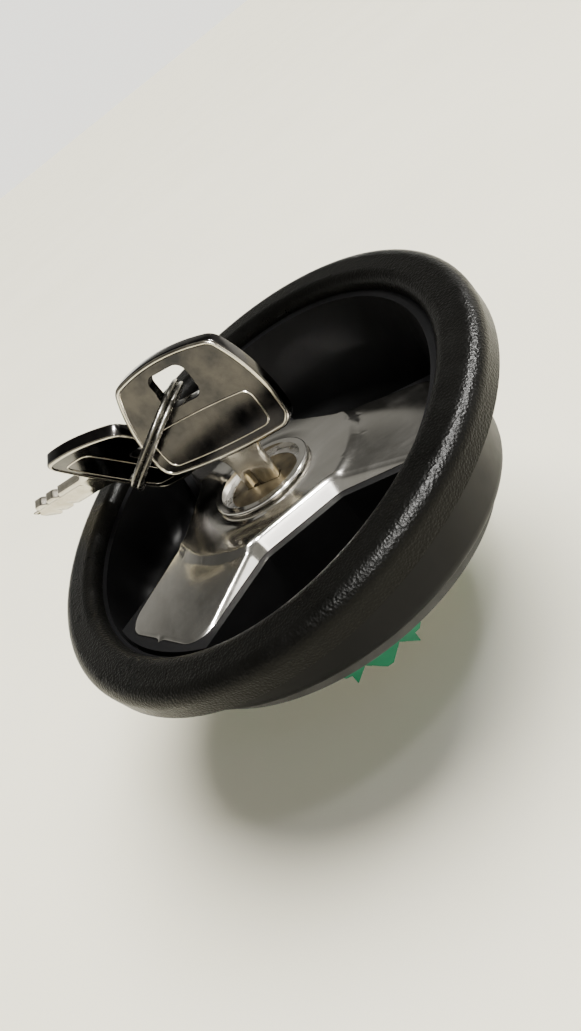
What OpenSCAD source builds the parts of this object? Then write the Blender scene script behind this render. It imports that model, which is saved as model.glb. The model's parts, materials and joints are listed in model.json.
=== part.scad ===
// Locking deck fill cap: a sloped rim ring on a round bowl, a three-armed bright
// handle plate around a key lock, a free-running neck insert that the lock engages,
// a vent valve below it, a key in the lock and a spare key on a split ring.
// +Z is the lock axis, pointing out of the deck. The origin is on that axis, in the
// plane where the neck gasket lands. All sizes are in millimetres.

/* [Rim] */
// Outside diameter of the rim ring
rim_od = 85; // [84:0.5:86]
// Slope of the rim against the lock axis, in degrees
rim_tilt = 11; // [9:0.5:12]
// Height of the rim's centre above the lock face
rim_rise = 6.1; // [5.5:0.1:7]
// Height of the outer skirt of the rim
skirt_h = 5.2; // [4.9:0.1:5.6]

/* [Bowl] */
// Outside radius of the bowl at its foot
bowl_r = 35.9; // [35.5:0.1:36.1]
// Thickness of the bowl's floor
floor_t = 2.5; // [2:0.1:3]

/* [Handle] */
// Half width of each of the three arms
arm_half_w = 8.7; // [8:0.1:9.2]
// Distance from the lock axis to the flat edge between two arms
waist_r = 14.5; // [14:0.1:15]
// Distance from the lock axis to the end of an arm
arm_reach = 30.8; // [30:0.1:31.2]
// Thickness of the pressed plate
sheet_t = 0.9; // [0.7:0.1:1]

/* [Neck insert] */
// Outside radius of the insert's guide band
spigot_r = 24.5; // [24.3:0.1:24.6]
// Number of driving pockets around the insert
pocket_count = 12; // [4, 12]

/* [Keys] */
// Direction of the key blade's width about the lock axis, in degrees
key_az = -34; // [-40:1:-30]
// Width of the key blade
blade_w = 6; // [5.6:0.1:6]

/* [Hidden] */
$fn = 72;
eps = 0.01;

// Heights along the lock axis
lock_z = 16.5;
ledge_z = 13.9;
deck_z = 2.5;
floor_z = deck_z + floor_t;
hub_bottom = -8;

// Rim ring, measured in its own sloped plane
rim_r = rim_od / 2;
lip_r = 35.1;
edge_r = 2.4;
lip_round = 2.1;
rim_deck = 2.7;
skirt_t = 1.5;
flange_r = 40.4;
flange_t = 2;
screw_ring_r = 39.1;

// Handle directions: one arm points to the rim's low side
first_arm_az = -150;
arm_end_round = 4;
disc_r = 17.2;
disc_step_r = 18.1;
step_z = 15.9;
tip_z = 14.15;
boss_ledge = 2.7;
flare = 1.3;
boss_gap = 0.25;

// Bowl walls
bowl_round = 2.3;
bowl_top_r = 36.4;
cavity_r = 33.3;
cavity_top_r = 34;
cavity_round = 3;
wall_top_z = 45;

// Lock
bezel_r = 8.9;
bezel_bore = 7.6;
bezel_top = 17.1;
barrel_r = 7.55;
barrel_top = 15.9;
barrel_bottom = -1.6;
lock_bore = 8;
plug_r = 5.5;
plug_gap = 0.05;
plug_head_r = 6.3;
plug_head_z = 14.8;
plug_top = 15.8;
blade_t = 1.9;
blade_tip_z = 1;
wafer_count = 5;
wafer_pitch = 2.2;
wafer_z = 3;
wafer_t = 0.9;
wafer_half_l = 4.85;
wafer_half_w = 2.35;
tail_half = 2;

// Drive below the lock
cam_r = 7;
cam_top = -1.75;
cam_bottom = -3.4;
crank_r = 4.4;
crank_pin_r = 1.1;
crank_az = -135;
crank_x = crank_r * cos(crank_az);
bolt_top = -5.1;
bolt_bottom = -7.9;
bolt_half_w = 2;
bolt_tip = 15.7;
hub_r = 16;
hub_cavity_r = 12.2;
hub_cavity_top = 0.75;
hub_screw_r = 14.1;

// Neck insert and gasket
insert_bore = 16.05;
insert_top = 2.2;
insert_bottom = -7.8;
crown_bottom = -8.4;
lug_bottom = -10.3;
tooth_count = 24;
lug_angle = 28;
lug_inset = 0.1;
crown_in = 22.5;
guide_h = 2.5;
body_r = 24.2;
pocket_end = 22.4;
gasket_in = 25.2;
gasket_out = 33;

// Vent valve
cover_r = 19.4;
cover_bottom = -9.3;
cup_r = 8.4;
cup_bore = 6.8;
cup_bottom = -17;
cup_floor = -15.6;
vent_hole_r = 3.2;
poppet_top = -14.3;
spring_r = 3.4;
spring_wire = 0.38;
spring_turns = 6;

// Keys, in a key's own frame: x across, y through, z from tip to bow
key_top_z = 42.3;
bow_bottom_z = 23;
bow_shift = -1.2;
bow_half_bottom = 13;
bow_half_top = 10.8;
bow_round = 3;
bow_t = 2;
border_h = 0.2;
border_w = 0.9;
key_hole_x = -1.6;
key_hole_z = 37.2;
key_hole_w = 6.8;
key_hole_h = 6;
key_hole_round = 1.6;

// Split ring: where it passes the key's hole and how it hangs
ring_pass_x = -3.2;
ring_pass_z = 36.1;
ring_r = 8.8;
ring_wire = 0.55;
ring_pitch = 1;
hang_angle = 33.66;
ring_cx = ring_pass_x - ring_r * cos(hang_angle);
ring_cz = ring_pass_z - ring_r * sin(hang_angle);

// Spare key: centre of its hole and the turn of its frame
spare_pos = [-11.2465, 14.4055, 27.1194];
spare_turn = [-76.31, -53.02, -144.93];

// Puts its children in the rim's sloped plane, centred on the lock axis
module in_rim_plane() {
  translate([0, 0, lock_z + rim_rise])
    rotate([0, 0, first_arm_az])
      rotate([0, rim_tilt, 0])
        rotate([0, 0, -first_arm_az])
          children();
}

// Washer-like ring between two heights
module ring_between(r_out, r_in, z_low, z_high) {
  translate([0, 0, z_low])
    difference() {
      cylinder(r = r_out, h = z_high - z_low);
      translate([0, 0, -1])
        cylinder(r = r_in, h = z_high - z_low + 2);
    }
}

// Round bar between two heights
module rod(r, z_low, z_high) {
  translate([0, 0, z_low])
    cylinder(r = r, h = z_high - z_low);
}

module torus(r, wire) {
  rotate_extrude()
    translate([r, 0])
      circle(wire);
}

// Rounded rectangle around the origin
module round_rect_2d(w, h, r) {
  square([w, h - 2 * r], center = true);
  square([w - 2 * r, h], center = true);
  for (sx = [-1, 1], sy = [-1, 1])
    translate([sx * (w / 2 - r), sy * (h / 2 - r)])
      circle(r);
}

// Outline of the three arms with flat sides between them
module wing_2d(half_w, waist, reach, corner_r) {
  rotate(first_arm_az)
    circle(r = 2 * waist, $fn = 3);
  for (i = [0:2])
    rotate(first_arm_az + 120 * i) {
      translate([0, -half_w])
        square([reach - corner_r, 2 * half_w]);
      translate([0, corner_r - half_w])
        square([reach, 2 * (half_w - corner_r)]);
      for (s = [-1, 1])
        translate([reach - corner_r, s * (half_w - corner_r)])
          circle(corner_r);
    }
}

// Space below the plate's top face: flat disc, small step, then sloping arms
module below_plate_top(drop) {
  rotate_extrude()
    polygon([[0, 0], [0, lock_z - drop], [disc_r, lock_z - drop],
      [disc_step_r, step_z - drop], [arm_reach, tip_z - drop],
      [arm_reach + 2, tip_z - drop - 0.3], [arm_reach + 2, 0]]);
}

// --- Rim -------------------------------------------------------------------

module rim_ring() {
  color([0.05, 0.05, 0.055])
    in_rim_plane()
      difference() {
        rotate_extrude()
          difference() {
            union() {
              translate([rim_r - edge_r, -edge_r])
                circle(edge_r);
              translate([lip_r + lip_round, -lip_round])
                circle(lip_round);
              translate([lip_r + lip_round, -rim_deck])
                square([rim_r - edge_r - lip_r - lip_round, rim_deck]);
              translate([lip_r, -rim_deck])
                square([rim_r - lip_r - edge_r, rim_deck - lip_round]);
              translate([rim_r - edge_r, -skirt_h])
                square([edge_r, skirt_h - edge_r]);
            }
            translate([lip_r - 1, -skirt_h - 1])
              square([rim_r - skirt_t - lip_r + 1, skirt_h + 1 - rim_deck]);
          }
        for (a = [0:60:300])
          rotate(a)
            translate([screw_ring_r, 0, -rim_deck - 1])
              cylinder(r = 0.85, h = 2.5);
      }
}

module rim_screws() {
  color([0.7, 0.7, 0.72])
    in_rim_plane()
      for (a = [0:60:300])
        rotate(a)
          translate([screw_ring_r, 0, -rim_deck - flange_t]) {
            difference() {
              rod(1.45, -1.1, 0);
              translate([-1, -0.2, -1.6])
                cube([2, 0.4, 0.9]);
              translate([-0.2, -1, -1.6])
                cube([0.4, 2, 0.9]);
            }
            rod(0.8, -eps, flange_t + 1.3);
          }
}

// --- Bowl ------------------------------------------------------------------

module bowl_outside() {
  foot_r = bowl_r - bowl_round;
  foot_z = deck_z + bowl_round;
  difference() {
    rotate_extrude() {
      polygon([[0, deck_z], [foot_r, deck_z], [foot_r, foot_z], [bowl_r, foot_z],
        [bowl_top_r, wall_top_z], [0, wall_top_z]]);
      translate([foot_r, foot_z])
        circle(bowl_round);
    }
    in_rim_plane()
      translate([0, 0, -rim_deck])
        cylinder(r = 80, h = 60);
  }
}

module bowl_cavity() {
  flat_r = cavity_r - cavity_round;
  rotate_extrude() {
    polygon([[0, floor_z], [flat_r, floor_z], [flat_r, floor_z + cavity_round],
      [cavity_r, floor_z + cavity_round], [cavity_top_r, wall_top_z + 9],
      [0, wall_top_z + 9]]);
    translate([flat_r, floor_z + cavity_round])
      circle(cavity_round);
  }
}

module handle_core() {
  end_r = 32.9;
  foot_r = 29.8;
  color([0.07, 0.07, 0.075])
    difference() {
      union() {
        intersection() {
          translate([0, 0, floor_z])
            linear_extrude(ledge_z - floor_z)
              wing_2d(arm_half_w + boss_ledge, waist_r + boss_ledge, 36, 1);
          rotate_extrude()
            polygon([[0, floor_z - 1], [foot_r, floor_z - 1], [foot_r, floor_z + 0.2],
              [end_r, floor_z + 3.4], [end_r, lock_z], [0, lock_z]]);
        }
        intersection() {
          translate([0, 0, ledge_z - 1])
            linear_extrude(6)
              wing_2d(arm_half_w - sheet_t - boss_gap, waist_r - sheet_t - boss_gap,
                arm_reach - sheet_t - boss_gap, arm_end_round - sheet_t - boss_gap);
          below_plate_top(sheet_t + boss_gap);
        }
      }
      rod(lock_bore, 0, lock_z + 1);
      ring_between(8.95, 6, 12.5, 13.85);
    }
}

module bowl_shell() {
  color([0.08, 0.08, 0.085])
    difference() {
      union() {
        difference() {
          union() {
            bowl_outside();
            in_rim_plane()
              translate([0, 0, -rim_deck - flange_t])
                cylinder(r = flange_r, h = flange_t);
          }
          bowl_cavity();
        }
        rod(hub_r, hub_bottom, deck_z + 1);
      }
      in_rim_plane()
        for (a = [0:60:300])
          rotate(a)
            translate([screw_ring_r, 0, -rim_deck - flange_t - 1])
              cylinder(r = 0.9, h = flange_t + 2);
      rod(lock_bore, hub_bottom - 1, lock_z + 1);
      rod(hub_cavity_r, hub_bottom - 1, hub_cavity_top);
      ring_between(hub_r + 1, 14.7, -2.7, -1.3);
      translate([hub_cavity_r - 1, -bolt_half_w - 0.05, hub_bottom - 1])
        cube([6, 2 * bolt_half_w + 0.1, bolt_top + 0.05 - hub_bottom + 1]);
      for (a = [60:120:300])
        rotate(a)
          translate([hub_screw_r, 0, hub_bottom - 1])
            cylinder(r = 1, h = 5);
    }
}

// Height profile whose right-hand side leans outward towards the foot
module leaning_side_2d(half, left) {
  lean = flare / (lock_z - ledge_z);
  low = ledge_z - 2;
  high = lock_z + 2;
  polygon([[left, low], [half + lean * (lock_z - low), low],
    [half + lean * (lock_z - high), high], [left, high]]);
}

module leaning_middle(waist) {
  intersection_for(a = [60:120:300])
    rotate([90, 0, first_arm_az + a])
      translate([0, 0, -40])
        linear_extrude(80)
          leaning_side_2d(waist, -60);
}

module leaning_arm(half_w, reach) {
  intersection() {
    rotate([90, 0, 90])
      linear_extrude(40)
        leaning_side_2d(half_w, -20);
    rotate([90, 0, 90])
      linear_extrude(40)
        mirror([1, 0])
          leaning_side_2d(half_w, -20);
    linear_extrude(30)
      translate([(reach - 10) / 2, 0])
        round_rect_2d(reach + 10, 2 * (half_w + flare), arm_end_round);
  }
}

// Space inside the plate's leaning sides, drawn in from them by a margin
module leaning_wing(margin) {
  leaning_middle(waist_r - margin);
  for (a = [0:120:240])
    rotate(first_arm_az + a)
      leaning_arm(arm_half_w - margin, arm_reach - margin);
}

module handle_plate() {
  color([0.86, 0.86, 0.86])
    difference() {
      intersection() {
        leaning_wing(0);
        below_plate_top(0);
        translate([0, 0, ledge_z])
          cylinder(r = 60, h = 20);
      }
      intersection() {
        leaning_wing(sheet_t);
        below_plate_top(sheet_t);
      }
      rod(lock_bore, 0, 20);
    }
}

// --- Lock ------------------------------------------------------------------

module lock_bezel() {
  crown_r = (bezel_top - lock_z) / 2;
  color([0.82, 0.82, 0.83])
    rotate_extrude() {
      translate([bezel_bore, 14.4])
        square([7.95 - bezel_bore, lock_z - 14.4 + eps]);
      translate([bezel_bore, lock_z])
        square([bezel_r - bezel_bore - crown_r, 2 * crown_r]);
      translate([bezel_r - crown_r, lock_z + crown_r])
        circle(crown_r);
    }
}

module lock_housing() {
  color([0.72, 0.72, 0.73])
    difference() {
      rod(barrel_r, barrel_bottom, barrel_top);
      rod(plug_r + plug_gap, barrel_bottom - 1, barrel_top + 1);
      rod(plug_head_r + plug_gap, plug_head_z - plug_gap, barrel_top + 1);
      rotate(key_az)
        for (s = [0, 180])
          rotate(s)
            translate([4.6, -wafer_half_w - 0.2, 1.6])
              cube([2.2, 2 * wafer_half_w + 0.4, 12]);
    }
}

module lock_oring() {
  color([0.06, 0.06, 0.06])
    translate([0, 0, 13.17])
      torus(8.22, 0.62);
}

module lock_plug() {
  color([0.78, 0.63, 0.33])
    difference() {
      union() {
        rod(plug_r, barrel_bottom, plug_head_z + eps);
        rod(plug_head_r, plug_head_z, plug_top);
        translate([-tail_half, -tail_half, cam_bottom + 0.1])
          cube([2 * tail_half, 2 * tail_half, barrel_bottom - cam_bottom]);
      }
      rotate(key_az) {
        translate([-blade_w / 2 - 0.15, -blade_t / 2 - 0.1, blade_tip_z - 0.4])
          cube([blade_w + 0.3, blade_t + 0.2, 20]);
        for (i = [0:wafer_count - 1])
          translate([0, 0, wafer_z + wafer_pitch * i]) {
            cube([2 * plug_r + 1, 2 * wafer_half_w + 0.1, wafer_t + 0.1], center = true);
            translate([0, 3.45, 0])
              cube([4.2, 1.3, wafer_t], center = true);
          }
      }
      rod(1.25, cam_bottom - 1, 0.3);
    }
}

module wafers() {
  color([0.8, 0.66, 0.36])
    rotate(key_az)
      for (i = [0:wafer_count - 1])
        translate([0, 0, wafer_z + wafer_pitch * i])
          difference() {
            cube([2 * wafer_half_l, 2 * wafer_half_w, wafer_t], center = true);
            cube([blade_w + 0.2, blade_t + 0.15, 2], center = true);
          }
}

module wafer_springs() {
  color([0.75, 0.75, 0.77])
    rotate(key_az)
      for (i = [0:wafer_count - 1])
        translate([0, 3.45, wafer_z + wafer_pitch * i])
          for (k = [0:3])
            translate([-1.2 + 0.8 * k, 0, 0])
              rotate([0, 0, k % 2 == 0 ? 40 : -40])
                cube([1.25, 0.22, 0.6], center = true);
}

module lock_nut() {
  color([0.7, 0.7, 0.71])
    translate([0, 0, -1.5])
      difference() {
        cylinder(r = 11.2, h = 2.2, $fn = 6);
        translate([0, 0, -1])
          cylinder(r = barrel_r + 0.03, h = 5);
      }
}

// --- Drive -----------------------------------------------------------------

module drive_cam() {
  color([0.68, 0.68, 0.7])
    difference() {
      union() {
        rod(cam_r, cam_bottom, cam_top);
        rotate(crank_az)
          translate([crank_r, 0, 0])
            rod(crank_pin_r, bolt_bottom + 0.2, cam_bottom + eps);
      }
      cube([2 * tail_half + 0.06, 2 * tail_half + 0.06, 20], center = true);
    }
}

module cam_screw() {
  color([0.7, 0.7, 0.72])
    difference() {
      union() {
        rod(2.4, cam_bottom - 1.2, cam_bottom - 0.02);
        rod(1.2, cam_bottom - 0.1, 0.2);
      }
      translate([-3, -0.3, cam_bottom - 1.7])
        cube([6, 0.6, 1]);
    }
}

module drive_bolt() {
  slot_half = crank_pin_r + 0.2;
  color([0.66, 0.66, 0.68])
    difference() {
      translate([0, 0, bolt_bottom])
        linear_extrude(bolt_top - bolt_bottom)
          union() {
            translate([-6.6, -7.3])
              square([7.2, 10.3]);
            translate([0, -bolt_half_w])
              square([bolt_tip, 2 * bolt_half_w]);
          }
      translate([crank_x - slot_half, -6, bolt_bottom - 1])
        cube([2 * slot_half, 4.4, 6]);
    }
}

module hub_oring() {
  color([0.06, 0.06, 0.06])
    translate([0, 0, -2])
      torus(15.36, 0.62);
}

module hub_cover() {
  color([0.62, 0.63, 0.65])
    difference() {
      rod(cover_r, cover_bottom, hub_bottom);
      for (a = [60:120:300])
        rotate(a)
          translate([hub_screw_r, 0, cover_bottom - 1])
            cylinder(r = 1, h = 4);
      for (a = [0:60:300])
        rotate(a)
          translate([5.4, 0, cover_bottom - 1])
            cylinder(r = 0.8, h = 4);
    }
}

module cover_screws() {
  color([0.7, 0.7, 0.72])
    for (a = [60:120:300])
      rotate(a)
        translate([hub_screw_r, 0, 0])
          difference() {
            union() {
              rod(2.1, cover_bottom - 1.4, cover_bottom);
              rod(0.95, cover_bottom - eps, -4.3);
            }
            translate([-1.4, -0.25, cover_bottom - 1.9])
              cube([2.8, 0.5, 1.2]);
            translate([-0.25, -1.4, cover_bottom - 1.9])
              cube([0.5, 2.8, 1.2]);
          }
}

// --- Neck insert -----------------------------------------------------------

module neck_gasket() {
  color([0.09, 0.09, 0.09])
    ring_between(gasket_out, gasket_in, 0, deck_z);
}

module neck_insert() {
  notch = 3.9;
  color([0.03, 0.32, 0.16])
    difference() {
      union() {
        rotate_extrude()
          polygon([[insert_bore, insert_bottom], [crown_in, insert_bottom],
            [crown_in, crown_bottom], [body_r, crown_bottom], [body_r, -guide_h],
            [spigot_r, -guide_h], [spigot_r, 0], [spigot_r - 0.5, 0],
            [spigot_r - 0.5, insert_top], [insert_bore, insert_top]]);
        for (a = [8.5:120:248.5])
          rotate(a)
            rotate_extrude(angle = lug_angle)
              translate([crown_in + lug_inset, lug_bottom])
                square([body_r - crown_in - 2 * lug_inset, crown_bottom - lug_bottom + 0.8]);
      }
      for (i = [0:tooth_count - 1])
        rotate(360 / tooth_count * i)
          translate([crown_in + 2, 0,
            (i % 8 == 1 || i % 8 == 2 ? lug_bottom : crown_bottom) - 0.15])
            rotate([45, 0, 0])
              cube([6, notch, notch], center = true);
      for (i = [0:pocket_count - 1])
        rotate(360 / pocket_count * i)
          translate([insert_bore - 1, -bolt_half_w - 0.2, bolt_bottom - 2])
            cube([pocket_end - insert_bore + 1, 2 * bolt_half_w + 0.4,
              bolt_top + 0.15 - bolt_bottom + 2]);
      for (a = [52.5:120:292.5])
        rotate(a) {
          translate([22.7, -2.2, crown_bottom - 1])
            cube([3, 4.4, crown_bottom * -1 - 1.9]);
          rotate_extrude(angle = 42)
            translate([22.7, -4.9])
              square([3, 2]);
        }
    }
}

// --- Vent valve ------------------------------------------------------------

module vent_cup() {
  color([0.1, 0.1, 0.11])
    difference() {
      union() {
        rod(cup_r, cup_bottom, cover_bottom);
        rod(10.4, cover_bottom - 1.3, cover_bottom);
      }
      rod(cup_bore, cup_floor, cover_bottom + 1);
      rod(vent_hole_r, cup_bottom - 1, cup_floor + 1);
      for (a = [30:60:330])
        rotate(a)
          translate([6, -0.8, -13.6])
            cube([4, 1.6, 2.6]);
    }
}

module vent_poppet() {
  color([0.75, 0.75, 0.72])
    union() {
      rod(5.6, -15.2, poppet_top);
      rod(2.6, -15.9, -15.2 + eps);
      rod(1.5, poppet_top - eps, -11.6);
    }
}

module vent_seal() {
  color([0.07, 0.07, 0.07])
    ring_between(5.4, 2.65, -15.56, -15.2);
}

module vent_spring() {
  low = poppet_top + spring_wire + 0.02;
  high = cover_bottom - spring_wire - 0.02;
  step = (high - low) / (spring_turns - 1);
  color([0.75, 0.75, 0.77])
    union() {
      for (i = [0:spring_turns - 1])
        translate([0, 0, low + step * i])
          torus(spring_r, spring_wire);
      for (i = [0:spring_turns - 2])
        rotate(97 * i)
          translate([spring_r, 0, 0])
            rod(spring_wire * 0.9, low + step * i, low + step * (i + 1));
    }
}

// --- Keys ------------------------------------------------------------------

// Corner centres of the bow, anticlockwise from the lower left
function bow_corners() = [
  [bow_shift - bow_half_bottom + bow_round, bow_bottom_z + bow_round],
  [bow_shift + bow_half_bottom - bow_round, bow_bottom_z + bow_round],
  [bow_shift + bow_half_top - bow_round, key_top_z - bow_round],
  [bow_shift - bow_half_top + bow_round, key_top_z - bow_round]];

// Four-sided plate outline with rounded corners of radius r
module round_quad_2d(c, r) {
  hull()
    for (p = c)
      translate(p)
        circle(r, $fn = 48);
}

// Raises a flat x-z outline to a plate of thickness t, centred on y = 0
module plate_xz(t) {
  rotate([90, 0, 0])
    translate([0, 0, -t / 2])
      linear_extrude(t)
        children();
}

module key_shape() {
  half = blade_w / 2;
  difference() {
    union() {
      plate_xz(bow_t)
        round_quad_2d(bow_corners(), bow_round);
      plate_xz(bow_t + 2 * border_h)
        difference() {
          round_quad_2d(bow_corners(), bow_round);
          round_quad_2d(bow_corners(), bow_round - border_w);
        }
      plate_xz(bow_t + 2 * border_h)
        translate([bow_shift - 0.4, 28.4])
          difference() {
            round_rect_2d(20, 6.6, 1.6);
            round_rect_2d(19.2, 5.8, 1.2);
          }
      plate_xz(blade_t)
        difference() {
          polygon([[-half - 2, bow_bottom_z + 0.6], [-half, bow_bottom_z - 2],
            [-half, blade_tip_z + 2.4], [-0.6, blade_tip_z], [0.6, blade_tip_z],
            [half, blade_tip_z + 2.4], [half, bow_bottom_z - 2],
            [half + 2, bow_bottom_z + 0.6]]);
          for (i = [0:wafer_count - 1])
            translate([(i % 2 == 0 ? 1 : -1) * (half + 0.35), wafer_z + wafer_pitch * i])
              rotate(45)
                square(1.6, center = true);
        }
    }
    plate_xz(8)
      translate([key_hole_x, key_hole_z])
        round_rect_2d(key_hole_w, key_hole_h, key_hole_round);
    for (s = [-1, 1])
      translate([s * 0.8 - 0.6, s * (blade_t / 2 + 0.1) - 0.45, blade_tip_z - 1])
        cube([1.2, 0.9, 18]);
  }
}

module key() {
  color([0.72, 0.7, 0.66])
    rotate(key_az)
      key_shape();
}

module key_ring() {
  color([0.7, 0.7, 0.7])
    rotate(key_az)
      translate([ring_cx, 0, ring_cz])
        rotate([0, -hang_angle, 0])
          for (s = [-0.5, 0.5])
            translate([0, 0, s * ring_pitch])
              torus(ring_r, ring_wire);
}

module spare_key() {
  color([0.72, 0.7, 0.66])
    translate(spare_pos)
      rotate(spare_turn)
        translate([-key_hole_x, 0, -key_hole_z])
          key_shape();
}

rim_ring();
rim_screws();
bowl_shell();
handle_core();
handle_plate();
lock_bezel();
lock_housing();
lock_oring();
lock_plug();
wafers();
wafer_springs();
lock_nut();
drive_cam();
cam_screw();
drive_bolt();
hub_oring();
hub_cover();
cover_screws();
neck_gasket();
neck_insert();
vent_cup();
vent_poppet();
vent_seal();
vent_spring();
key();
key_ring();
spare_key();
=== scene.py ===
"""Locking deck fill cap: materials, finer plate, keys, ring and spring, and the floor, light and camera."""
import json
import math

import bmesh
import bpy
from mathutils import Matrix, Vector


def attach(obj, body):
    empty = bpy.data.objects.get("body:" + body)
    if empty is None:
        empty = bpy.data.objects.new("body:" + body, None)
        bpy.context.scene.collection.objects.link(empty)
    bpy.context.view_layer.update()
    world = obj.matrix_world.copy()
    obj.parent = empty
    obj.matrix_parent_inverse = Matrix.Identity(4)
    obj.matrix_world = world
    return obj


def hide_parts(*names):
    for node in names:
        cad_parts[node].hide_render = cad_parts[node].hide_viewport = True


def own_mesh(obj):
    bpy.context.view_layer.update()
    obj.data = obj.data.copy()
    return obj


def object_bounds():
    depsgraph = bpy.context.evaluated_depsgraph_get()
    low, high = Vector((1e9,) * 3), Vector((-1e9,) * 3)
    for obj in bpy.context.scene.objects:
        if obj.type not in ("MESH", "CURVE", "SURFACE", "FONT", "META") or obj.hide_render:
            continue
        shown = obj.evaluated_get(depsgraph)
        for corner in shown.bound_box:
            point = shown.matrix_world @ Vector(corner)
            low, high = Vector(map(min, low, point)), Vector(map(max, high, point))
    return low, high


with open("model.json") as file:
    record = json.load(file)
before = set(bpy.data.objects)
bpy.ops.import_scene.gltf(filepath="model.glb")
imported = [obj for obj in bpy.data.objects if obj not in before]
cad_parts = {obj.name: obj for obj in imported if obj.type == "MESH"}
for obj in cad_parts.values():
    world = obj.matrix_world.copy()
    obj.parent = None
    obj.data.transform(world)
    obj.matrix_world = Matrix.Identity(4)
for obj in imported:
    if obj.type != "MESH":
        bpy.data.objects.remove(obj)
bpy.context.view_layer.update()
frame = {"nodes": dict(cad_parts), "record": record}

MM = 0.001
KEY_TURN = math.radians(-34)
FLOOR_R = 12.0
LAMP_TINT = (1.0, 0.985, 0.95)
GLINT_AWAY = 0.8


# --- Node helpers -----------------------------------------------------------


class Nodes:
    """A material's node tree, with short calls for the nodes used here."""

    def __init__(self, name):
        self.material = bpy.data.materials.new(name)
        self.material.use_nodes = True
        self.tree = self.material.node_tree
        self.bsdf = self.tree.nodes["Principled BSDF"]
        self.coords = self.tree.nodes.new("ShaderNodeTexCoord").outputs["Object"]

    def link(self, source, target):
        self.tree.links.new(source, target)

    def node(self, kind, **settings):
        made = self.tree.nodes.new(kind)
        for key, value in settings.items():
            setattr(made, key, value)
        return made

    def shader(self, **values):
        for name, value in values.items():
            self.bsdf.inputs[name.replace("_", " ")].default_value = value

    def noise(self, scale, detail=4.0, rough=0.55, stretch=None, distortion=0.0):
        texture = self.node("ShaderNodeTexNoise")
        texture.inputs["Scale"].default_value = scale
        texture.inputs["Detail"].default_value = detail
        texture.inputs["Roughness"].default_value = rough
        texture.inputs["Distortion"].default_value = distortion
        self.link(self.stretched(stretch), texture.inputs["Vector"])
        return texture.outputs["Fac"]

    def cells(self, scale):
        texture = self.node("ShaderNodeTexVoronoi")
        texture.inputs["Scale"].default_value = scale
        self.link(self.coords, texture.inputs["Vector"])
        return texture.outputs["Distance"]

    def stretched(self, stretch):
        if stretch is None:
            return self.coords
        mapping = self.node("ShaderNodeMapping")
        mapping.inputs["Scale"].default_value = stretch
        self.link(self.coords, mapping.inputs["Vector"])
        return mapping.outputs["Vector"]

    def ramp(self, source, stops):
        ramp = self.node("ShaderNodeValToRGB").color_ramp
        node = self.tree.nodes[-1]
        while len(ramp.elements) < len(stops):
            ramp.elements.new(0.5)
        for element, (place, colour) in zip(ramp.elements, stops):
            element.position = place
            element.color = (*colour, 1) if len(colour) == 3 else colour
        self.link(source, node.inputs["Fac"])
        return node.outputs["Color"]

    def spread(self, source, low, high, out_low, out_high):
        node = self.node("ShaderNodeMapRange")
        for name, value in zip(("From Min", "From Max", "To Min", "To Max"), (low, high, out_low, out_high)):
            node.inputs[name].default_value = value
        self.link(source, node.inputs["Value"])
        return node.outputs["Result"]

    def maths(self, operation, a, b):
        node = self.node("ShaderNodeMath", operation=operation)
        for socket, value in zip(node.inputs, (a, b)):
            if isinstance(value, (int, float)):
                socket.default_value = value
            else:
                self.link(value, socket)
        return node.outputs["Value"]

    def bump(self, height, distance, strength):
        node = self.node("ShaderNodeBump")
        node.inputs["Strength"].default_value = strength
        node.inputs["Distance"].default_value = distance
        self.link(height, node.inputs["Height"])
        return node.outputs["Normal"]

    def finish(self, colour, rough, normal):
        for name, source in (("Base Color", colour), ("Roughness", rough), ("Normal", normal)):
            if source is not None:
                self.link(source, self.bsdf.inputs[name])
        return self.material


# --- Materials --------------------------------------------------------------


def grained_black():
    """Moulded black rim: fine leather-like grain that rubbing has polished in patches."""
    n = Nodes("rim_black")
    n.shader(IOR=1.45, Specular_IOR_Level=0.08)
    grain = n.cells(2600)
    fine = n.noise(6000, 3, 0.6)
    height = n.maths("ADD", grain, n.maths("MULTIPLY", fine, 0.5))
    patches = n.noise(60, 5, 0.6)
    colour = n.ramp(patches, [(0.3, (0.0022, 0.0022, 0.0019)), (0.7, (0.0042, 0.0041, 0.0036))])
    rough = n.spread(n.noise(240, 4, 0.6), 0.3, 0.7, 0.26, 0.36)
    return n.finish(colour, rough, n.bump(height, 0.00008, 0.75))


def satin_black():
    """Smoother black of the bowl: satin outside, polished by the tool inside."""
    n = Nodes("bowl_black")
    n.shader(IOR=1.4, Specular_IOR_Level=0.12)
    haze = n.noise(45, 4, 0.55)
    colour = n.ramp(haze, [(0.3, (0.003, 0.003, 0.0033)), (0.72, (0.006, 0.006, 0.0066))])
    rough = n.spread(n.noise(110, 5, 0.6), 0.3, 0.72, 0.38, 0.52)
    return n.finish(colour, rough, n.bump(n.noise(900, 3, 0.5), 0.00001, 0.25))


def polished_chrome():
    """Bright chrome over pressed steel, with faint ripples and handling haze."""
    n = Nodes("chrome")
    n.shader(Metallic=1.0)
    smear = n.noise(70, 5, 0.62, distortion=0.6)
    colour = n.ramp(smear, [(0.3, (0.56, 0.54, 0.50)), (0.65, (0.72, 0.70, 0.66))])
    fine = n.noise(60, 4, 0.6, stretch=(1, 14, 1))
    rough = n.spread(n.maths("ADD", smear, n.maths("MULTIPLY", fine, 0.3)), 0.5, 0.9, 0.1, 0.22)
    ripple = n.bump(n.noise(55, 2, 0.5), 0.0002, 0.12)
    return n.finish(colour, rough, ripple)


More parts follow.
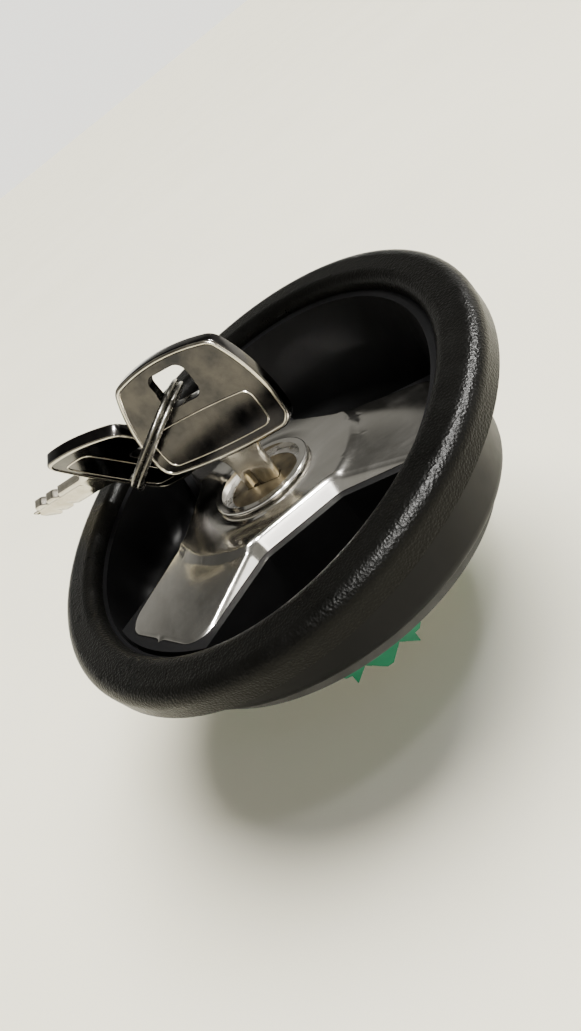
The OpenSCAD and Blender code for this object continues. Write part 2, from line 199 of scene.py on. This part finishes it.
def key_nickel(name, dark, light, rough_low, rough_high):
    """Nickel-plated brass: mirror-like with rub marks, warmer where the plating wears. Given very dark
    colours it paints a dark reflection, as on the key bow faces.
    """
    n = Nodes(name)
    n.shader(Metallic=1.0)
    wear = n.noise(160, 5, 0.62)
    colour = n.ramp(wear, [(0.35, dark), (0.62, light)])
    scratches = n.noise(900, 3, 0.6, stretch=(1, 0.08, 0.25))
    rubbed = n.maths("ADD", wear, n.maths("MULTIPLY", scratches, 0.5))
    rough = n.spread(rubbed, 0.5, 1.0, rough_low, rough_high)
    return n.finish(colour, rough, n.bump(scratches, 0.00002, 0.2))


def plated_steel(name, dark, light, rough_low, rough_high, stretch=(1, 1, 1)):
    n = Nodes(name)
    n.shader(Metallic=1.0)
    mottled = n.noise(260, 4, 0.6, stretch=stretch)
    colour = n.ramp(mottled, [(0.32, dark), (0.68, light)])
    rough = n.spread(n.noise(800, 3, 0.6, stretch=stretch), 0.3, 0.7, rough_low, rough_high)
    return n.finish(colour, rough, n.bump(mottled, 0.00003, 0.2))


def dull_brass():
    n = Nodes("plug_brass")
    n.shader(Metallic=1.0)
    stain = n.noise(300, 5, 0.62)
    colour = n.ramp(stain, [(0.3, (0.07, 0.055, 0.031)), (0.7, (0.16, 0.13, 0.078))])
    rough = n.spread(stain, 0.3, 0.7, 0.26, 0.46)
    return n.finish(colour, rough, n.bump(n.noise(1500, 3, 0.6), 0.00002, 0.3))


def moulded(name, dark, light, rough_low, rough_high, grain=1600):
    n = Nodes(name)
    n.shader(IOR=1.48)
    cloud = n.noise(130, 4, 0.6)
    colour = n.ramp(cloud, [(0.3, dark), (0.7, light)])
    rough = n.spread(n.noise(grain / 3, 4, 0.6), 0.3, 0.7, rough_low, rough_high)
    return n.finish(colour, rough, n.bump(n.noise(grain, 3, 0.55), 0.00003, 0.3))


MATERIALS = {
    "rim": grained_black(),
    "bowl": satin_black(),
    "bright": polished_chrome(),
    "zinc": plated_steel("lock_zinc", (0.45, 0.44, 0.42), (0.62, 0.61, 0.59), 0.22, 0.38),
    "plug": dull_brass(),
    "steel": plated_steel("plated_steel", (0.42, 0.41, 0.40), (0.66, 0.65, 0.63), 0.2, 0.36),
    "seal": moulded("rubber_black", (0.012, 0.012, 0.012), (0.03, 0.03, 0.03), 0.6, 0.8, 2200),
    "insert": moulded("insert_green", (0.0, 0.115, 0.05), (0.004, 0.19, 0.085), 0.34, 0.5),
    "valve": moulded("valve_natural", (0.42, 0.41, 0.36), (0.56, 0.55, 0.5), 0.3, 0.45),
    "cup": moulded("cup_black", (0.014, 0.014, 0.015), (0.03, 0.03, 0.032), 0.4, 0.55),
    "nickel": key_nickel("nickel_plain", (0.42, 0.38, 0.31), (0.58, 0.54, 0.46), 0.12, 0.26),
    # Bow faces: the same nickel with very dark colours, a painted dark reflection on the faces.
    "nickel_painted_dark_reflection": key_nickel("nickel_painted_dark_reflection", (0.03, 0.03, 0.032), (0.075, 0.07, 0.065), 0.08, 0.2),
    "nickel_edge": key_nickel("nickel_edge", (0.46, 0.42, 0.34), (0.66, 0.62, 0.53), 0.12, 0.26),
    "ring": plated_steel("ring_steel", (0.065, 0.061, 0.054), (0.14, 0.133, 0.118), 0.18, 0.32),
}

for part in frame["record"]["subparts"]:
    mesh = frame["nodes"][part["node"]].data
    mesh.materials.clear()
    mesh.materials.append(MATERIALS[part["material_slot"]])


# --- Pieces -----------------------------------------------------------------


def add_piece(name, mesh, look, place=None):
    """Links a finished mesh, smooth and with one of the materials, at rest or at a place in the model."""
    for face in mesh.polygons:
        face.use_smooth = True
    piece = bpy.data.objects.new(name, mesh)
    piece.data.materials.append(MATERIALS[look])
    bpy.context.scene.collection.objects.link(piece)
    if place is not None:
        piece.matrix_world = place
    return piece


def stand_in(piece, body, node):
    """Makes a piece ride on a body in place of a CAD node, which it hides."""
    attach(piece, body)
    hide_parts(node)


def grid_mesh(name, rows, close_rows=False):
    """Quads between rows of points, each row a closed loop; close_rows joins the last row to the first."""
    bm = bmesh.new()
    made = [[bm.verts.new(point) for point in row] for row in rows]
    pairs = list(zip(made, made[1:]))
    if close_rows:
        pairs.append((made[-1], made[0]))
    for one, two in pairs:
        for i in range(len(one)):
            j = (i + 1) % len(one)
            bm.faces.new((one[i], one[j], two[j], two[i]))
    if not close_rows:
        bm.faces.new(list(reversed(made[0])))
        bm.faces.new(made[-1])
    bmesh.ops.recalc_face_normals(bm, faces=bm.faces)
    mesh = bpy.data.meshes.new(name)
    bm.to_mesh(mesh)
    bm.free()
    return mesh


def smooth_min(a, b, width):
    blend = max(width - abs(a - b), 0) / width
    return min(a, b) - blend * blend * width / 4


def smooth_step(low, high, value):
    t = min(max((value - low) / (high - low), 0), 1)
    return t * t * (3 - 2 * t)


# Handle plate, in millimetres
PLATE_TOP = 16.5
PLATE_FOOT = 13.9
PLATE_HOLE = 8.0
ARM_HALF_W = 8.7
ARM_REACH = 30.8
WAIST = 14.5
FLARE = 1.3
ARM_AZIMUTHS = [math.radians(a) for a in (-150, -30, 90)]
ARM_CORNER = 4.2
ARM_FALL = 1.75
ARM_FALL_RUN = 12.7
DISC_EDGE_IN = 16.9
DISC_EDGE_OUT = 18.1
DISC_STEP = 0.6
DISH_IN = 8.6
DISH_OUT = 11.5
DISH_DEPTH = 0.25
PLATE_T = 1.2


def inside_wing(x, y):
    """How far a point is inside the foot outline of the plate; negative outside."""
    arm = -1e9
    middle = 1e9
    for azimuth in ARM_AZIMUTHS:
        along = x * math.cos(azimuth) + y * math.sin(azimuth)
        across = abs(-x * math.sin(azimuth) + y * math.cos(azimuth))
        dx = along - (ARM_REACH + 0.3 - ARM_CORNER)
        dy = across - (ARM_HALF_W + FLARE - ARM_CORNER)
        outside = math.hypot(max(dx, 0), max(dy, 0)) + min(max(dx, dy), 0) - ARM_CORNER
        arm = max(arm, min(-outside, along + 12))
        middle = min(middle, WAIST + FLARE + along)
    return -smooth_min(-arm, -middle, 0.8)


def plate_height(x, y):
    """Height of the plate's upper face: dished disc, step at its edge, falling arms and leaning flange."""
    r = math.hypot(x, y)
    step = DISC_STEP * smooth_step(DISC_EDGE_IN, DISC_EDGE_OUT, r)
    top = PLATE_TOP - step - ARM_FALL * max(r - DISC_EDGE_OUT, 0) / ARM_FALL_RUN
    dish = DISH_DEPTH * (1 - smooth_step(DISH_IN, DISH_OUT, r))
    side = PLATE_FOOT + inside_wing(x, y) * (PLATE_TOP - PLATE_FOOT) / FLARE
    return smooth_min(top - dish, side, 0.9)


def wing_edge(azimuth):
    """Distance from the lock axis to the foot outline in one direction."""
    near, far = 10.0, 34.0
    for _ in range(30):
        middle = (near + far) / 2
        if inside_wing(middle * math.cos(azimuth), middle * math.sin(azimuth)) > 0:
            near = middle
        else:
            far = middle
    return near


def make_handle_plate():
    """Pressed three-armed plate: raised disc, sloping arms and a leaning flange all round."""
    spokes = 540
    flat, near_edge = 20, 26
    steps = [0.7 * i / flat for i in range(flat)]
    steps += [0.7 + 0.3 * i / near_edge for i in range(near_edge + 1)]
    azimuths = [math.tau * i / spokes for i in range(spokes)]
    edges = [wing_edge(a) for a in azimuths]
    rows = []
    for t in steps:
        row = []
        for azimuth, edge in zip(azimuths, edges):
            r = PLATE_HOLE + (edge - PLATE_HOLE) * t
            x, y = r * math.cos(azimuth), r * math.sin(azimuth)
            row.append(Vector((x, y, max(plate_height(x, y), PLATE_FOOT + 0.02))) * MM)
        rows.append(row)
    under = []
    for azimuth, edge in zip(azimuths, edges):
        inner = edge - 0.1
        under.append(Vector((inner * math.cos(azimuth), inner * math.sin(azimuth), PLATE_FOOT)) * MM)
    rows.append(under)
    hole = []
    for azimuth in azimuths:
        x, y = PLATE_HOLE * math.cos(azimuth), PLATE_HOLE * math.sin(azimuth)
        hole.append(Vector((x, y, PLATE_TOP - PLATE_T)) * MM)
    rows.append(hole)
    piece = add_piece("handle_plate_pressed", grid_mesh("handle_plate", rows, True), "bright")
    stand_in(piece, "cap", "handle_plate")


# Keys, in a key's own frame in millimetres: x across, y through, z from tip to bow
BOW_CORNERS = [(-11.2, 26.3), (8.8, 26.3), (6.3, 38.5), (-8.7, 38.5)]
BOW_BULGES = (0.5, 0.8, 1.0, 0.8)
HOLE_CORNERS = [(-3.4, 35.8), (0.2, 35.8), (0.2, 38.6), (-3.4, 38.6)]
PANEL_CORNERS = [(-10.0, 26.6), (6.8, 26.6), (6.8, 30.2), (-10.0, 30.2)]
BOW_ROUND = 3.0
BOW_HALF_T = 0.85
BOW_BEVEL = 0.15
BORDER_INSET = 0.55
BORDER_R = 0.34
BORDER_SUNK = 0.12
PANEL_LINE_R = 0.16
HOLE_ROUND = 1.6
PANEL_ROUND = 1.5
KEY_HOLE = Vector((-1.6, 0, 37.2))
BLADE_HALF = 3.0
BLADE_T = 1.9


def rounded_outline(corners, radius, bulges):
    """Anticlockwise outline with rounded corners and sides that bulge outward a little."""
    sides = []
    for i, start in enumerate(corners):
        end = corners[(i + 1) % len(corners)]
        dx, dz = end[0] - start[0], end[1] - start[1]
        length = math.hypot(dx, dz)
        normal = math.atan2(-dx, dz)
        turn = 2 * math.atan(2 * bulges[i] / length)
        sides.append((normal, turn, length))
    points = []
    for i, corner in enumerate(corners):
        normal, turn, length = sides[i]
        before = sides[i - 1][0] + sides[i - 1][1]
        sweep = (normal - turn - before) % math.tau
        for k in range(10):
            angle = before + sweep * k / 10
            points.append((corner[0] + radius * math.cos(angle), corner[1] + radius * math.sin(angle)))
        big = length / (2 * math.sin(turn)) if turn > 0 else 0
        first = normal - turn
        centre = (corner[0] - big * math.cos(first), corner[1] - big * math.sin(first))
        for k in range(14 if turn > 0 else 1):
            angle = first + 2 * turn * k / 14
            reach = radius + big
            points.append((centre[0] + reach * math.cos(angle), centre[1] + reach * math.sin(angle)))
    return points


def curve_mesh(name, outlines, extrude=0.0, bevel=0.0, flat=True, lift=0.0):
    """Mesh of closed outlines in the x-z plane: a bevelled plate, or round ridges when flat is False."""
    curve = bpy.data.curves.new(name, "CURVE")
    curve.dimensions = "2D" if flat else "3D"
    curve.fill_mode = "BOTH" if flat else "FULL"
    curve.extrude = extrude * MM
    curve.bevel_depth = bevel * MM
    curve.bevel_resolution = 3
    curve.offset = -bevel * MM if flat else 0
    for outline in outlines:
        spline = curve.splines.new("POLY")
        spline.points.add(len(outline) - 1)
        for point, (x, z) in zip(spline.points, outline):
            point.co = (x * MM, z * MM, lift * MM, 1)
        spline.use_cyclic_u = True
    holder = bpy.data.objects.new(name, curve)
    bpy.context.scene.collection.objects.link(holder)
    bpy.context.view_layer.update()
    evaluated = holder.evaluated_get(bpy.context.evaluated_depsgraph_get())
    mesh = bpy.data.meshes.new_from_object(evaluated)
    mesh.transform(Matrix.Rotation(math.radians(90), 4, "X"))
    bpy.data.objects.remove(holder)
    return mesh


def blade_rows():
    """Sections of the blade from neck to tip: bitting cuts on both edges, a milled groove each side."""
    cuts = [(3 + 2.2 * i, 1 if i % 2 == 0 else -1) for i in range(5)]
    stations = [23.8 - 0.2 * i for i in range(113)]
    rows = []
    for z in stations:
        neck = max(z - 20.4, 0)
        flare = 3.4 - math.sqrt(max(3.4 ** 2 - min(neck, 3.4) ** 2, 0))
        taper = max(3.4 - z, 0)
        edges = []
        for side in (-1, 1):
            half = BLADE_HALF + flare - taper * 0.95
            for cut_z, cut_side in cuts:
                if cut_side == side:
                    half -= max(1.15 - abs(z - cut_z), 0) * 0.9 if z < 14 else 0
            edges.append(side * max(half, 0.5))
        left, right = edges
        groove = 0.42 * (1 - smooth_step(17.5, 19.5, z))
        top, low = BLADE_T / 2, -BLADE_T / 2
        soft = 0.18
        rows.append([Vector(point) * MM for point in (
            (left, low + soft, z), (left + soft, low, z), (-1.9, low, z), (-1.7, low + groove, z),
            (-0.5, low + groove, z), (-0.3, low, z), (right - soft, low, z), (right, low + soft, z),
            (right, top - soft, z), (right - soft, top, z), (1.9, top, z), (1.7, top - groove, z),
            (0.5, top - groove, z), (0.3, top, z), (left + soft, top, z), (left, top - soft, z))])
    return rows


def make_key(name, body, node, place):
    """Stamped key: bow plate, raised border and panel outline, and a grooved blade."""
    bow = rounded_outline(BOW_CORNERS, BOW_ROUND, BOW_BULGES)
    hole = rounded_outline(HOLE_CORNERS, HOLE_ROUND, (0, 0, 0, 0))
    border = rounded_outline(BOW_CORNERS, BOW_ROUND - BORDER_INSET, BOW_BULGES)
    panel = rounded_outline(PANEL_CORNERS, PANEL_ROUND, (0.3, 0.1, 0.3, 0.1))
    # The bow faces carry a painted dark reflection; the border, panel line and blade take the lighter
    # nickel.
    parts = [
        (name + "_bow", curve_mesh("bow", [bow, hole], BOW_HALF_T, BOW_BEVEL), "nickel_painted_dark_reflection"),
        (name + "_blade", grid_mesh("blade", blade_rows()), "nickel_edge"),
    ]
    for side, lift in (("front", 1.0), ("back", -1.0)):
        sunk = lift - math.copysign(BORDER_SUNK, lift)
        ridge = curve_mesh("border", [border], bevel=BORDER_R, flat=False, lift=sunk)
        parts.append((f"{name}_border_{side}", ridge, "nickel_edge"))
        line = curve_mesh("panel", [panel], bevel=PANEL_LINE_R, flat=False, lift=lift)
        parts.append((f"{name}_panel_{side}", line, "nickel_edge"))
    for part_name, mesh, look in parts:
        stand_in(add_piece(part_name, mesh, look, place), body, node)


# Split ring and vent spring, in millimetres
RING_R = 8.8
RING_WIRE = 0.54
RING_TURNS = 2
RING_PITCH = 1.0
RING_HANG = math.radians(33.66)
RING_START = math.radians(200)
SPRING_R = 3.4
SPRING_WIRE = 0.38
SPRING_TURNS = 5
SPRING_LOW = -13.9
SPRING_HIGH = -9.7


def coil_rows(radius, wire, sides, angles, heights, flatten=1.0):
    """Sections of a wire in millimetres along a coil about Z, one for each angle and height."""
    rows = []
    for angle, height in zip(angles, heights):
        out = Vector((math.cos(angle), math.sin(angle), 0))
        middle = out * radius + Vector((0, 0, height))
        row = []
        for k in range(sides):
            around = math.tau * k / sides
            up = Vector((0, 0, wire * flatten * math.sin(around)))
            row.append((middle + out * wire * math.cos(around) + up) * MM)
        rows.append(row)
    return rows


def make_split_ring():
    """Two-turn split ring of drawn wire, with its cut ends side by side."""
    held_x, held_z = -3.2, 36.1
    centre = Vector((held_x - RING_R * math.cos(RING_HANG), 0, held_z - RING_R * math.sin(RING_HANG)))
    steps = 240
    shares = [i / steps for i in range(steps + 1)]
    angles = [RING_START + math.tau * RING_TURNS * t for t in shares]
    heights = [(t - 0.5) * RING_TURNS * RING_PITCH for t in shares]
    mesh = grid_mesh("split_ring", coil_rows(RING_R, RING_WIRE, 12, angles, heights, 0.92))
    place = Matrix.Rotation(KEY_TURN, 4, "Z") @ Matrix.Translation(centre * MM)
    place = place @ Matrix.Rotation(-RING_HANG, 4, "Y")
    stand_in(add_piece("key_ring_coil", mesh, "ring", place), "ring", "key_ring")


def make_vent_spring():
    """Wound vent spring riding on the cap, built at one length; on the real cap it shortens towards the hub
    cover as the valve lifts.
    """
    steps = 180
    angles = [math.tau * SPRING_TURNS * i / steps for i in range(steps + 1)]
    heights = [SPRING_LOW + (SPRING_HIGH - SPRING_LOW) * i / steps for i in range(steps + 1)]
    mesh = grid_mesh("vent_coil", coil_rows(SPRING_R, SPRING_WIRE, 8, angles, heights))
    piece = add_piece("vent_spring_coil", mesh, "steel")
    stand_in(piece, "cap", "vent_spring")
    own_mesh(piece)


def spare_place():
    """Where the spare key's frame lies: its hole's centre and its turn."""
    turn = [math.radians(a) for a in (-76.31, -53.02, -144.93)]
    spin = Matrix.Rotation(turn[2], 4, "Z") @ Matrix.Rotation(turn[1], 4, "Y")
    spin = spin @ Matrix.Rotation(turn[0], 4, "X")
    hole = Vector((-11.2465, 14.4055, 27.1194))
    return Matrix.Translation(hole * MM) @ spin @ Matrix.Translation(-KEY_HOLE * MM)


make_handle_plate()
make_key("key", "key", "key", Matrix.Rotation(KEY_TURN, 4, "Z"))
make_key("spare", "spare", "spare_key", spare_place())
make_split_ring()
make_vent_spring()


# --- Floor, light, camera ---------------------------------------------------


def pale_floor():
    """Large plain flat floor under the object."""
    n = Nodes("floor_pale")
    fleck = n.noise(9, 4, 0.6)
    colour = n.ramp(fleck, [(0.3, (0.88, 0.84, 0.665)), (0.7, (0.92, 0.88, 0.705))])
    n.shader(Roughness=0.65)
    material = n.finish(colour, None, n.bump(n.noise(1400, 3, 0.6), 0.0001, 0.15))
    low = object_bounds()[0].z
    sides = 96
    bm = bmesh.new()
    corners = []
    for i in range(sides):
        angle = math.tau * i / sides
        corners.append(bm.verts.new((FLOOR_R * math.cos(angle), FLOOR_R * math.sin(angle), low)))
    bm.faces.new(corners)
    mesh = bpy.data.meshes.new("floor")
    bm.to_mesh(mesh)
    bm.free()
    floor = bpy.data.objects.new("floor", mesh)
    floor.data.materials.append(material)
    bpy.context.scene.collection.objects.link(floor)


def area_light(name, place, aim, size, power, colour):
    light = bpy.data.lights.new(name, "AREA")
    light.shape = "RECTANGLE"
    light.size, light.size_y = size
    light.energy = power
    light.color = colour
    lamp = bpy.data.objects.new(name, light)
    lamp.location = place
    lamp.rotation_euler = (Vector(aim) - Vector(place)).to_track_quat("-Z", "Y").to_euler()
    bpy.context.scene.collection.objects.link(lamp)


def lamp_light(aim, strength, spread):
    """Broad far lamp whose light travels along aim."""
    light = bpy.data.lights.new("lamp_light", "SUN")
    light.energy = strength
    light.angle = math.radians(spread)
    light.color = LAMP_TINT
    lamp = bpy.data.objects.new("lamp_light", light)
    lamp.rotation_euler = Vector(aim).to_track_quat("-Z", "Y").to_euler()
    lamp.visible_glossy = False
    bpy.context.scene.collection.objects.link(lamp)


def glint_light(name, azimuth, elevation, size, power):
    """Small lamp that only shows as a highlight, for the bright line along the rim."""
    light = bpy.data.lights.new(name, "AREA")
    light.shape = "DISK"
    light.size = size
    light.energy = power
    light.color = LAMP_TINT
    lamp = bpy.data.objects.new(name, light)
    az, el = math.radians(azimuth), math.radians(elevation)
    away = Vector((math.cos(el) * math.cos(az), math.cos(el) * math.sin(az), math.sin(el)))
    lamp.location = away * GLINT_AWAY
    lamp.rotation_euler = (-away).to_track_quat("-Z", "Y").to_euler()
    lamp.visible_diffuse = False
    bpy.context.scene.collection.objects.link(lamp)


def world_light():
    """Dim room light, pale near the horizon so that it runs on from the floor."""
    world = bpy.data.worlds.new("studio")
    bpy.context.scene.world = world
    world.use_nodes = True
    tree = world.node_tree
    coords = tree.nodes.new("ShaderNodeTexCoord")
    split = tree.nodes.new("ShaderNodeSeparateXYZ")
    ramp = tree.nodes.new("ShaderNodeValToRGB")
    stops = [(0.0, 1.3), (0.13, 1.3), (0.2, 0.26), (0.49, 0.17), (0.57, 0.06), (1.0, 0.07)]
    while len(ramp.color_ramp.elements) < len(stops):
        ramp.color_ramp.elements.new(0.5)
    for element, (place, value) in zip(ramp.color_ramp.elements, stops):
        element.position = place
        element.color = (value, value * 0.98, value * 0.9, 1)
    tree.links.new(coords.outputs["Generated"], split.inputs["Vector"])
    tree.links.new(split.outputs["Z"], ramp.inputs["Fac"])
    tree.links.new(ramp.outputs["Color"], tree.nodes["Background"].inputs["Color"])
    tree.nodes["Background"].inputs["Strength"].default_value = 1.6


def camera():
    right = Vector((0.772, -0.316, -0.551))
    up = Vector((0.635, 0.360, 0.683))
    back = right.cross(up)
    data = bpy.data.cameras.new("camera")
    data.lens = 27.93
    data.sensor_width = 36
    data.clip_start = 0.01
    data.clip_end = 20
    cam = bpy.data.objects.new("camera", data)
    basis = Matrix((right, up, back)).transposed()
    cam.matrix_world = Matrix.Translation(Vector((-2.7, -117.6, 71.8)) * MM) @ basis.to_4x4()
    bpy.context.scene.collection.objects.link(cam)
    bpy.context.scene.camera = cam


world_light()
pale_floor()
lamp_light((-0.3, -0.3, -0.85), 9.2, 50)
area_light("front_light", (-0.02, -0.85, 0.49), (0, 0, 0), (0.34, 0.2), 1.6, (1.0, 0.98, 0.95))
glint_light("glint_middle", -45, 63, 0.07, 32.0)
glint_light("glint_far", 5, 48, 0.07, 23.0)
glint_light("glint_near", -85, 50, 0.07, 13.0)
glint_light("glint_arm", -31, 19, 0.3, 0.8)
camera()
